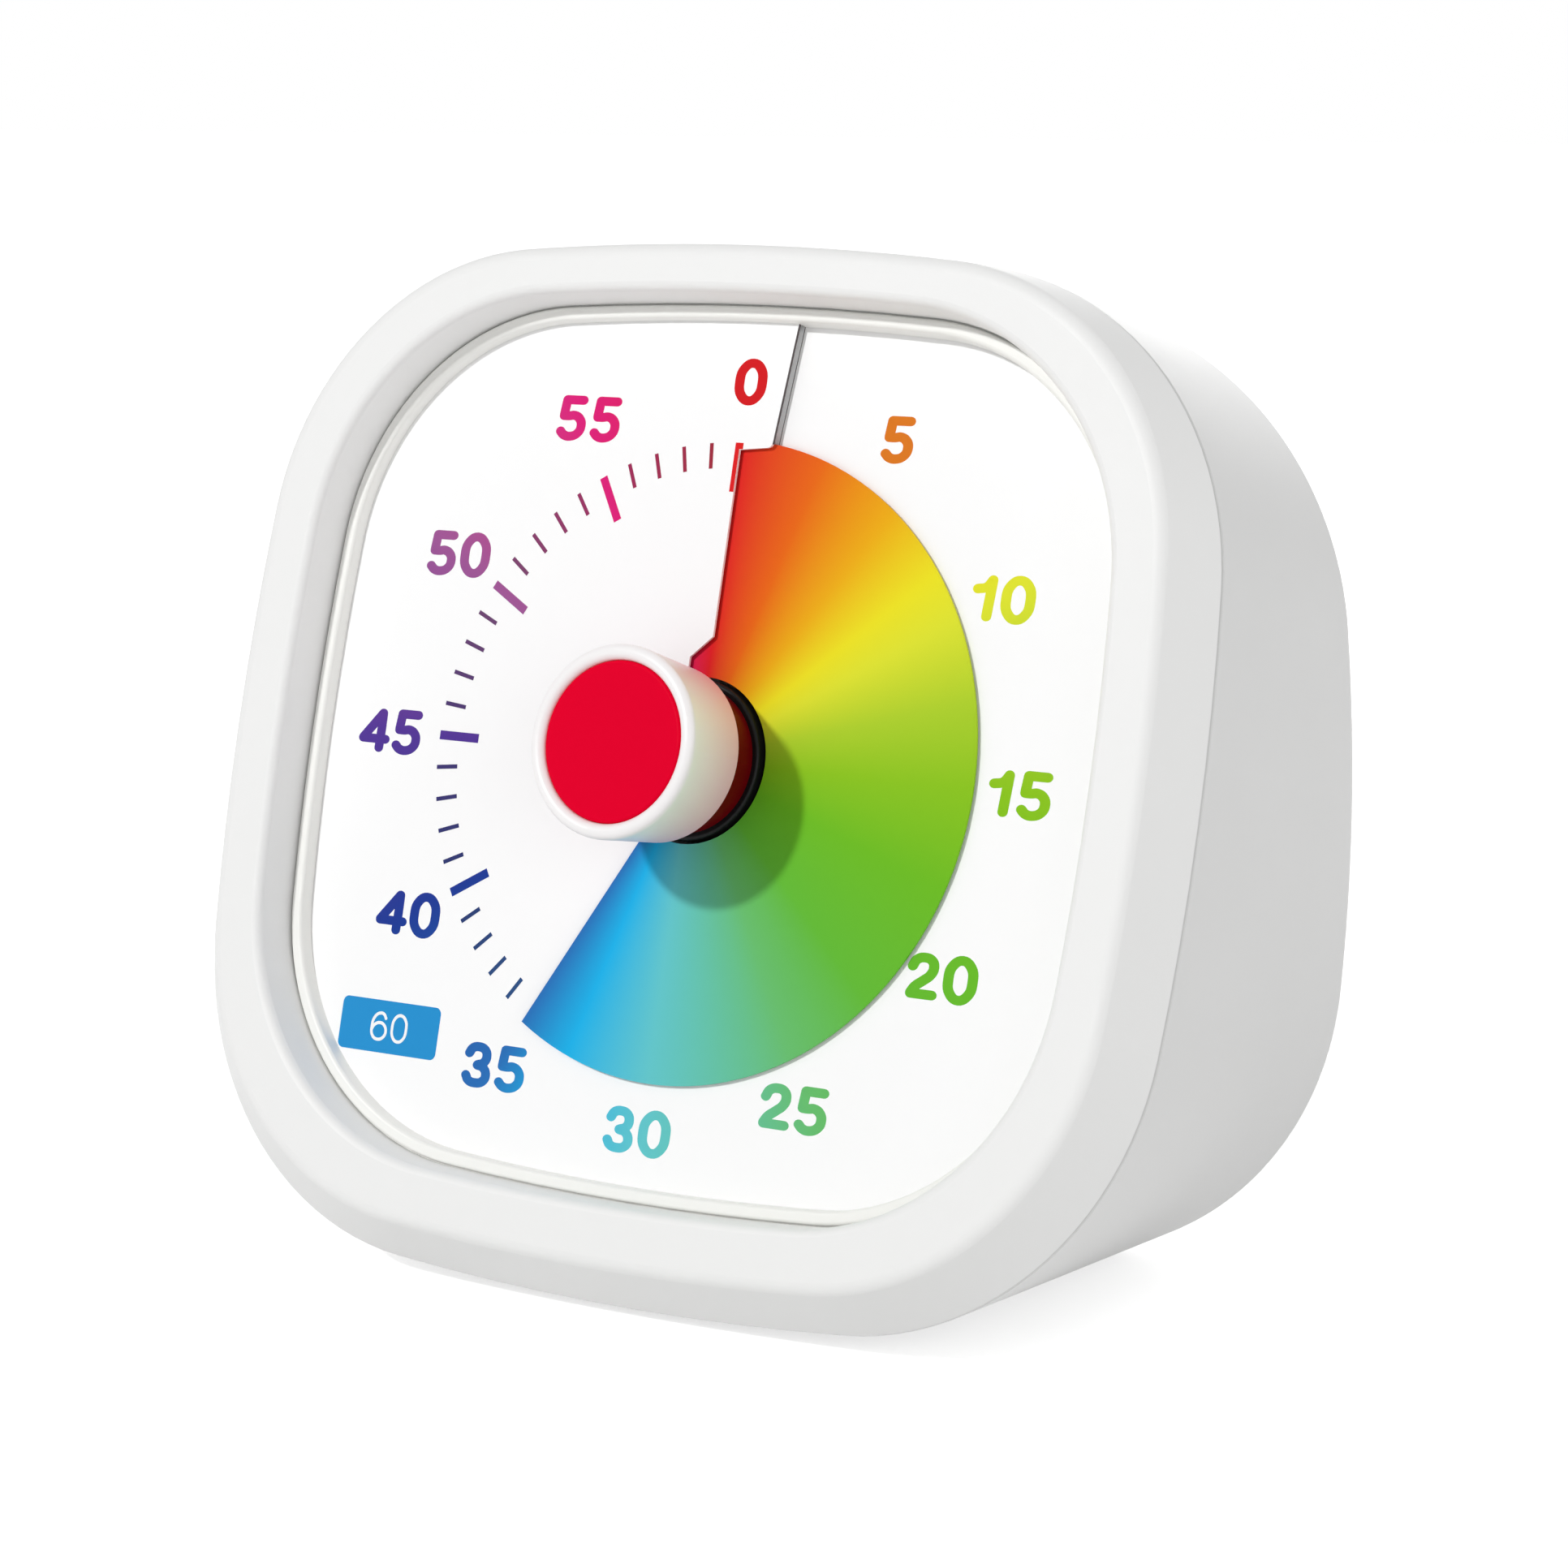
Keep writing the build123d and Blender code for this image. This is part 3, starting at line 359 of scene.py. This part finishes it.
# inks
filmPrint = printedInk("filmPrint", gloss=0.42)
dialInk = printedInk("dialInk")
tickInk = printedInk("tickInk", dark=0.55)
figureInks = {               # the other figures take the dial's rainbow
    "0": printedInk("figureRed", colour=ink(213, 26, 32)),
    "5": printedInk("figureOrange", colour=ink(222, 122, 34)),
}
badgeBlue = printedInk("badgeBlue", colour=ink(30, 144, 208), shine=0.12)
badgeWhite = printedInk("badgeWhite", colour=ink(250, 250, 250), shine=0.12)

# metals
steelColour = (0.62, 0.62, 0.64, 1)
steelBright = brightMetal("steelBright", steelColour, 0.3)
steelLaminated = brightMetal("steelLaminated", (0.42, 0.42, 0.44, 1), 0.42)
brassTurned = brightMetal("brassTurned", (0.75, 0.55, 0.27, 1), 0.3)
copperWire = brightMetal("copperWire", (0.72, 0.36, 0.2, 1), 0.35, brushScale=2500.0)


# ---- second colours laid over a finish, by distance from a plane: painted glow and shade, and the cell's bare ends; lengths in m
def onDial(across, up, out=0.0):
    # a place given in mm on the dial
    return dialPlace @ Vector((across * millimetre, up * millimetre, out * millimetre))


def distanceFrom(material, normal, origin):
    # positive in front of the plane
    tree = material.node_tree
    along = tree.nodes.new("ShaderNodeVectorMath")
    along.operation = "DOT_PRODUCT"
    tree.links.new(tree.nodes["Texture Coordinate"].outputs["Object"], along.inputs[0])
    along.inputs[1].default_value = normal
    return mathNode(tree, "SUBTRACT", along.outputs["Value"], normal.dot(origin))


def paintOver(material, share, colour):
    # by a share from 0, the finish's own colour, to 1
    tree = material.node_tree
    base = tree.nodes["Principled BSDF"].inputs["Base Color"]
    tree.links.new(mixNode(tree, share, base.links[0].from_socket, colour), base)


def paintedLightNearPlane(material, settings):
    # painted light or shade: a colour that is strongest on a plane and gone a little way off it,
    # and where "beyond" names a second plane, on that plane's front side only
    tree = material.node_tree
    away = mathNode(tree, "ABSOLUTE", distanceFrom(material, settings["normal"], settings["origin"]))
    span = tree.nodes.new("ShaderNodeMapRange")
    for label, value in (
        ("Value", away), ("From Min", settings["even"]), ("From Max", settings["gone"]),
        ("To Min", settings["strength"]), ("To Max", 0.0),
    ):
        feed(tree, span.inputs[label], value)
    share = span.outputs["Result"]
    if "beyond" in settings:
        inFront = mathNode(tree, "GREATER_THAN", distanceFrom(material, *settings["beyond"]), 0.0)
        share = mathNode(tree, "MULTIPLY", share, inFront)
    paintOver(material, share, settings["colour"])


def bareCellEnds(material, settings):
    # steel past the jacket's ends, and a pale collar of print before them
    tree = material.node_tree
    along = mathNode(tree, "ABSOLUTE", distanceFrom(material, settings["normal"], settings["origin"]))
    collar = mathNode(tree, "GREATER_THAN", along, settings["collar"])
    steel = mathNode(tree, "GREATER_THAN", along, settings["jacket"])
    paintOver(material, collar, settings["pale"])
    paintOver(material, steel, steelColour)
    tree.links.new(steel, tree.nodes["Principled BSDF"].inputs["Metallic"])


sleevePaintedGlow = {               # painted glow: pink toward the sleeve's rear, for light that the red stem tints through the translucent sleeve
    "normal": dialOut,
    "origin": onDial(0, 0, 5.0),
    "even": 0.0,             # full strength up to here
    "gone": 0.0082,
    "strength": 0.7,
    "colour": ink(255, 162, 202),
}
seamPaintedShade = {                # painted shade in the groove of the housing's parting line
    "normal": dialOut,
    "origin": onDial(0, 0, 1.0),
    "even": 0.00013,
    "gone": 0.0002,
    "strength": 0.22,
    "colour": ink(96, 96, 92),
}
lipLow, lipHigh = onDial(3.7, 27.9), onDial(5.0, 41.6)
lipEdgePaintedShade = {                  # painted shade on the cut edge of the card's upper lip, beyond the film
    "normal": (lipHigh - lipLow).cross(dialOut).normalized(),
    "origin": lipLow,
    "beyond": (dialUp, onDial(0, 27.7)),
    "even": 0.00003,
    "gone": 0.00005,
    "strength": 0.93,
    "colour": ink(40, 14, 18),
}
cellLow, cellHigh = (Vector(corner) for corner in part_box("battery"))
cellEnds = {
    "normal": dialAcross,
    "origin": (cellLow + cellHigh) / 2,
    "jacket": 0.0238,        # half the jacket's length
    "collar": 0.0205,        # a pale collar runs from here to each end of it
    "pale": ink(206, 208, 212),
}
# painted glow on the sleeve, painted shade in the seam groove and on the card lip's cut edge
paintedLightNearPlane(knobWhite, sleevePaintedGlow)
paintedLightNearPlane(shellWhite, seamPaintedShade)
paintedLightNearPlane(cardWhite, lipEdgePaintedShade)
bareCellEnds(cellJacket, cellEnds)

nodeFinishes = {
    shellWhite: ["front_bezel", "rear_housing", "battery_door"],
    ringWhite: ["dial_ring"],
    cardWhite: ["dial_card"],
    filmPrint: ["colour_disc"],
    knobWhite: ["knob_sleeve"],
    capRed: ["knob_cap"],
    stemRedPaintedShade: ["knob_stem"],
    hubBlack: ["disc_hub"],
    frameGrey: ["dial_frame", "sound_switch"],
    caseBlack: ["movement_cover", "movement_case"],
    gearNatural: ["centre_wheel", "third_wheel", "fourth_wheel", "rotor", "alarm_cam"],
    steelBright: [
        "case_screws", "spindle", "movement_screws", "clutch_spring", "quartz_crystal",
        "battery_contact", "battery_spring",
    ],
    steelLaminated: ["stator"],
    brassTurned: ["spindle_bush", "bush_nut", "clutch_collar", "alarm_contact"],
    copperWire: ["drive_coil"],
    boardGreen: ["circuit_board"],
    chipBlack: ["driver_chip"],
    buzzerBlack: ["piezo_buzzer", "switch_body"],
    cellJacket: ["battery"],
}
for finish, names in nodeFinishes.items():
    for name in names:
        part = frame["nodes"][name]
        part.data.materials.clear()
        part.data.materials.append(finish)
print("materials on", sum(len(names) for names in nodeFinishes.values()), "nodes")


# ---- marks printed on the card, made in mm on the dial and then placed
dialMarks = {
    "lift": 0.02,            # ink over the card's face
    "cardMiddle": -0.25,     # rise of the card's middle at half a turn, and half its thickness
    "cardFace": 0.125,
    "slant": 0.66,           # marks move across by this share of the card's rise
    "minorInner": 25.87,
    "majorInner": 23.79,
    "outer": 28.16,
    "minorWidth": 0.38,
    "majorWidth": 0.82,
    "slitSide": 0.3,         # edge of the slit's upper lip, and where that lip widens
    "slitStep": 27.6,
    "slitMargin": 0.02,      # ink stops this short of that edge
    "tuckedMinute": 35,      # this tick lies just under the film's edge
    "tuckedShift": -0.46,
}


def cardRise(across, up, marks):
    # rise of the card's face at a place on the dial
    turn = degrees(atan2(across, up)) % 360
    return (cardPitch / millimetre) * (turn / 360 - 0.5) + marks["cardMiddle"] + marks["cardFace"]


def layOnCard(corners, marks, upperLip=False):
    # the upper lip carries on past a full turn, to the right of the slit
    for corner in corners:
        rise = cardRise(corner.co.x, corner.co.y, marks)
        if upperLip and corner.co.x > 0:
            rise += cardPitch / millimetre
        corner.co.z += rise


def placeOnDial(shape):
    bmesh.ops.scale(shape, vec=(millimetre, millimetre, millimetre), verts=shape.verts)
    bmesh.ops.transform(shape, matrix=dialPlace, verts=shape.verts)


def addPiece(name, shape, material, body, smoothAngle=None):
    bmesh.ops.recalc_face_normals(shape, faces=shape.faces)
    mesh = bpy.data.meshes.new(name)
    shape.to_mesh(mesh)
    shape.free()
    if smoothAngle is not None:
        mesh.shade_smooth()
        mesh.set_sharp_from_angle(angle=radians(smoothAngle))
    piece = bpy.data.objects.new(name, mesh)
    scene.collection.objects.link(piece)
    mesh.materials.append(material)
    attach(piece, body)
    return piece


def addBar(shape, left, right, low, high, marks):
    # thin bar of ink, upright on the dial
    bar = bmesh.ops.create_cube(shape, size=1.0)["verts"]
    bmesh.ops.scale(shape, vec=(right - left, high - low, 2 * marks["lift"]), verts=bar)
    bmesh.ops.translate(shape, vec=((left + right) / 2, (low + high) / 2, 0), verts=bar)
    return bar


def buildTicks(name, minutes, inner, width, material, marks):
    # each tick is made at the top and turned to its minute
    shape = bmesh.new()
    for minute in minutes:
        aside = marks["tuckedShift"] if minute == marks["tuckedMinute"] else 0
        bar = addBar(shape, aside - width / 2, aside + width / 2, inner, marks["outer"], marks)
        turn = radians(6 * minute)
        bmesh.ops.rotate(shape, cent=(0, 0, 0), matrix=Matrix.Rotation(-turn, 3, "Z"), verts=bar)
        rise = cardRise(sin(turn), cos(turn), marks)
        bmesh.ops.translate(shape, vec=(marks["slant"] * rise, 0, 0), verts=bar)
        layOnCard(bar, marks)
    placeOnDial(shape)
    return addPiece(name, shape, material, "housing")


def buildZeroTick(name, material, marks):
    # on the slit's upper lip, cut narrow up to where the lip widens
    shape = bmesh.new()
    justLeft = -0.001
    left = marks["slant"] * cardRise(justLeft, 1, marks) - marks["majorWidth"] / 2
    right = left + marks["majorWidth"]
    cutRight = marks["slitSide"] - marks["slitMargin"]
    bars = addBar(shape, left, cutRight, marks["majorInner"], marks["slitStep"], marks)
    bars += addBar(shape, left, right, marks["slitStep"], marks["outer"], marks)
    layOnCard(bars, marks, upperLip=True)
    placeOnDial(shape)
    return addPiece(name, shape, material, "housing")


minorMinutes = [minute for minute in range(60) if minute % 5]
majorMinutes = range(5, 60, 5)
for name, minutes, kind, material in (
    ("minuteTicks", minorMinutes, "minor", tickInk),
    ("fiveMinuteTicks", majorMinutes, "major", dialInk),
):
    buildTicks(name, minutes, dialMarks[kind + "Inner"], dialMarks[kind + "Width"], material, dialMarks)
buildZeroTick("zeroTick", dialInk, dialMarks)
print("ticks printed")


# ---- figures: each stroke runs along the middle of its line, in mm from the figure's middle
boldFigures = {
    "0": [("ring", [(0, 1.68), (0.86, 1.22), (1.19, 0), (0.86, -1.22),
                    (0, -1.68), (-0.86, -1.22), (-1.19, 0), (-0.86, 1.22)])],
    "1": [("line", [(-0.72, 0.75), (0.12, 0.92), (0.64, 1.5)]),
          ("line", [(0.66, 1.56), (0.6, 0.6), (0.46, -1.58)])],
    "2": [("line", [(-1.08, 0.76), (-0.72, 1.34), (0.02, 1.56), (0.76, 1.36), (1.02, 0.8),
                    (0.78, 0.16), (0.1, -0.4), (-0.6, -0.92), (-0.98, -1.46)]),
          ("line", [(-0.98, -1.54), (1.14, -1.54)])],
    "3": [("line", [(-1.02, 0.98), (-0.68, 1.46), (-0.04, 1.62), (0.64, 1.44), (0.94, 0.9),
                    (0.7, 0.28), (0.02, 0.0)]),
          ("line", [(0.02, -0.02), (0.66, -0.16), (1.08, -0.82), (0.78, -1.42), (-0.02, -1.62),
                    (-0.76, -1.46), (-1.1, -1.02)])],
    "4": [("line", [(0.68, 1.56), (-1.26, -0.76)]),
          ("line", [(-1.26, -0.82), (1.3, -0.82)]),
          ("line", [(0.7, 1.56), (0.72, 0.2), (0.68, -1.62)])],
    "5": [("line", [(1.0, 1.66), (-0.82, 1.66)]),
          ("line", [(-0.82, 1.64), (-0.96, 0.3)]),
          ("line", [(-0.96, 0.2), (-0.36, 0.2), (0.2, 0.26), (0.82, -0.04), (1.06, -0.66),
                    (0.76, -1.34), (-0.06, -1.66), (-0.74, -1.54), (-1.14, -1.22)])],
}
thinFigures = {
    "6": [("line", [(0.66, 0.78), (0.42, 1.1), (0.02, 1.2), (-0.56, 0.86), (-0.82, -0.1),
                    (-0.6, -0.94), (0, -1.2), (0.6, -0.96), (0.82, -0.42), (0.58, 0.12), (0.04, 0.32),
                    (-0.52, 0.1), (-0.8, -0.34)])],
    "0": [("ring", [(0, 1.2), (0.58, 0.88), (0.8, 0), (0.58, -0.88),
                    (0, -1.2), (-0.58, -0.88), (-0.8, 0), (-0.58, 0.88)])],
}
figurePlaces = {
    "0": (0.52, 33.58), "5": (15.95, 29.28), "10": (28.35, 16.21), "15": (32.60, -0.10),
    "20": (27.74, -16.13), "25": (14.99, -28.79), "30": (-0.70, -32.78), "35": (-16.90, -29.07),
    "40": (-28.80, -16.46), "45": (-33.71, -0.11), "50": (-28.84, 16.58), "55": (-16.39, 29.59),
}
figureStyle = {              # mm
    "strokes": boldFigures,
    "line": 0.84,            # stroke thickness across the figure's height
    "widen": 1.22,           # upright strokes are this much thicker
    "advance": 3.74,         # figure to figure
    "advanceAfterOne": 3.36,
    "lift": 0.02,
}
badgeStyle = {               # mm
    "middle": (-29.15, -26.92),
    "size": (11.2, 4.75),
    "corner": 0.6,
    "cornerSteps": 6,
    "lift": 0.02,
}
badgeFigureStyle = {
    "strokes": thinFigures,
    "line": 0.36,
    "widen": 1.0,
    "advance": 2.3,
    "lift": 0.04,
}
strokeSteps = {
    "round": 2,              # fineness round a stroke and along it
    "along": 5,
    "ballRound": 16,
    "ballHigh": 6,
    "smoothAngle": 60,       # degrees, edges sharper than this stay sharp
}


def strokeMesh(strokes, thick, widen):
    # round tubes along the strokes with a ball at each open end
    line = bpy.data.curves.new("strokes", "CURVE")
    line.dimensions = "3D"
    line.bevel_depth = thick / 2
    line.bevel_resolution = strokeSteps["round"]
    line.resolution_u = strokeSteps["along"]
    for kind, points in strokes:
        spline = line.splines.new("BEZIER")
        spline.bezier_points.add(len(points) - 1)
        spline.use_cyclic_u = kind == "ring"
        for knot, (across, up) in zip(spline.bezier_points, points):
            knot.co = (across / widen, up, 0)
            knot.handle_left_type = "AUTO"
            knot.handle_right_type = "AUTO"
    holder = bpy.data.objects.new("strokes", line)
    scene.collection.objects.link(holder)
    bpy.context.view_layer.update()
    evaluated = holder.evaluated_get(bpy.context.evaluated_depsgraph_get())
    tubes = bpy.data.meshes.new_from_object(evaluated)
    shape = bmesh.new()
    shape.from_mesh(tubes)
    openEnds = [
        points[end] for kind, points in strokes if kind == "line" for end in (0, -1)
    ]
    for across, up in openEnds:
        bmesh.ops.create_uvsphere(
            shape, u_segments=strokeSteps["ballRound"], v_segments=strokeSteps["ballHigh"],
            radius=thick / 2, matrix=Matrix.Translation((across / widen, up, 0)),
        )
    bpy.data.objects.remove(holder)
    bpy.data.meshes.remove(tubes)
    return shape


def buildFigures(name, figures, place, advance, style, material, marks, upperLip=False):
    whole = bmesh.new()
    for index, figure in enumerate(figures):
        shape = strokeMesh(style["strokes"][figure], style["line"], style["widen"])
        flatten = 2 * style["lift"] / style["line"]
        bmesh.ops.scale(shape, vec=(style["widen"], 1, flatten), verts=shape.verts)
        across = place[0] + (index - (len(figures) - 1) / 2) * advance
        bmesh.ops.translate(shape, vec=(across, place[1], 0), verts=shape.verts)
        mesh = bpy.data.meshes.new("figure")
        shape.to_mesh(mesh)
        shape.free()
        whole.from_mesh(mesh)
        bpy.data.meshes.remove(mesh)
    layOnCard(whole.verts, marks, upperLip)
    placeOnDial(whole)
    return addPiece(name, whole, material, "housing", strokeSteps["smoothAngle"])


for figures, place in figurePlaces.items():
    advance = figureStyle["advanceAfterOne" if figures.startswith("1") else "advance"]
    buildFigures(
        "figure" + figures, figures, place, advance, figureStyle,
        figureInks.get(figures, dialInk), dialMarks, upperLip=figures == "0",
    )
print("figures printed")


def buildBadge(name, style, material, marks):
    shape = bmesh.new()
    wide, high = style["size"]
    plate = bmesh.ops.create_cube(shape, size=1.0)["verts"]
    bmesh.ops.scale(shape, vec=(wide, high, 2 * style["lift"]), verts=plate)
    uprights = [
        edge for edge in shape.edges
        if abs(edge.verts[0].co.z - edge.verts[1].co.z) > style["lift"]
    ]
    bmesh.ops.bevel(
        shape, geom=uprights, offset=style["corner"], offset_type="OFFSET", affect="EDGES",
        segments=style["cornerSteps"], profile=0.5, material=-1,
    )
    bmesh.ops.translate(shape, vec=(*style["middle"], 0), verts=shape.verts)
    layOnCard(shape.verts, marks)
    placeOnDial(shape)
    return addPiece(name, shape, material, "housing")


buildBadge("badge", badgeStyle, badgeBlue, dialMarks)
buildFigures(
    "badgeFigures", "60", badgeStyle["middle"], badgeFigureStyle["advance"], badgeFigureStyle,
    badgeWhite, dialMarks,
)
print("badge printed")


# ---- floor and light; lengths in m
studio = {
    "floorSize": 12.0,
    "floorColour": (0.8, 0.8, 0.8, 1),
    "floorLift": 0.62,       # the floor's own glow under the object, rising to full white ...
    "floorReach": 0.45,      # ... this far from it
    "worldLight": 0.33,      # light from all round, which itself shows as full white
}
lamps = {
    "key": {"power": 13.1, "size": 0.1, "place": (-0.43, -1.33, 0.92)},
    "fill": {"power": 2.5, "size": 0.8, "place": (1.5, 0.05, 0.6)},
    "front": {"power": 3.4, "size": 1.0, "place": (1.3, -1.1, 0.35)},
    "top": {"power": 2.2, "size": 0.9, "place": (0.7, 0.6, 1.4)},
    "rear": {"power": 6.0, "size": 1.0, "place": (-0.5, 1.6, 0.55)},
}


def seenDirectly(tree):
    # 1 for camera, glossy and transmission rays, 0 for the rest
    path = tree.nodes.new("ShaderNodeLightPath")
    glossy = mathNode(tree, "MAXIMUM", path.outputs["Is Camera Ray"], path.outputs["Is Glossy Ray"])
    return mathNode(tree, "MAXIMUM", glossy, path.outputs["Is Transmission Ray"])


def nearMiddle(tree, place, reach):
    # 1 at the floor's middle, falling to 0 at the reach
    mapping = tree.nodes.new("ShaderNodeMapping")
    mapping.inputs["Scale"].default_value = (1 / reach, 1 / reach, 1 / reach)
    tree.links.new(place, mapping.inputs["Vector"])
    ball = tree.nodes.new("ShaderNodeTexGradient")
    ball.gradient_type = "SPHERICAL"
    tree.links.new(mapping.outputs["Vector"], ball.inputs["Vector"])
    return ball.outputs["Fac"]


def buildFloor(settings):
    shape = bmesh.new()
    bmesh.ops.create_grid(shape, x_segments=1, y_segments=1, size=settings["floorSize"] / 2)
    mesh = bpy.data.meshes.new("floor")
    shape.to_mesh(mesh)
    shape.free()
    floor = bpy.data.objects.new("floor", mesh)
    scene.collection.objects.link(floor)
    material, tree, shader, place = newMaterial("floorWhite")
    shader.inputs["Base Color"].default_value = settings["floorColour"]
    shader.inputs["Roughness"].default_value = 1.0
    shader.inputs["Specular IOR Level"].default_value = 0.0
    shader.inputs["Emission Color"].default_value = (1, 1, 1, 1)
    near = nearMiddle(tree, place, settings["floorReach"])
    lift = mathNode(tree, "MULTIPLY_ADD", near, settings["floorLift"] - 1, 1.0)
    glow = mathNode(tree, "MULTIPLY", seenDirectly(tree), lift)
    tree.links.new(glow, shader.inputs["Emission Strength"])
    mesh.materials.append(material)


def buildWorld(settings):
    world = bpy.data.worlds.new("studio")
    scene.world = world
    world.use_nodes = True
    tree = world.node_tree
    background = tree.nodes["Background"]
    background.inputs["Color"].default_value = (1, 1, 1, 1)
    seen = seenDirectly(tree)
    strength = mathNode(tree, "MULTIPLY_ADD", seen, 1 - settings["worldLight"], settings["worldLight"])
    tree.links.new(strength, background.inputs["Strength"])


def addLamp(name, settings):
    # a round lamp that points at the dial
    data = bpy.data.lights.new(name, "AREA")
    data.shape = "DISK"
    data.size = settings["size"]
    data.energy = settings["power"]
    lamp = bpy.data.objects.new(name, data)
    scene.collection.objects.link(lamp)
    place = Vector(settings["place"])
    aim = (dialCentre - place).to_track_quat("-Z", "Y").to_matrix()
    lamp.matrix_world = Matrix.Translation(place) @ aim.to_4x4()


buildFloor(studio)
buildWorld(studio)
for name, settings in lamps.items():
    addLamp(name, settings)
scene.view_settings.view_transform = "Standard"
print("studio lit")
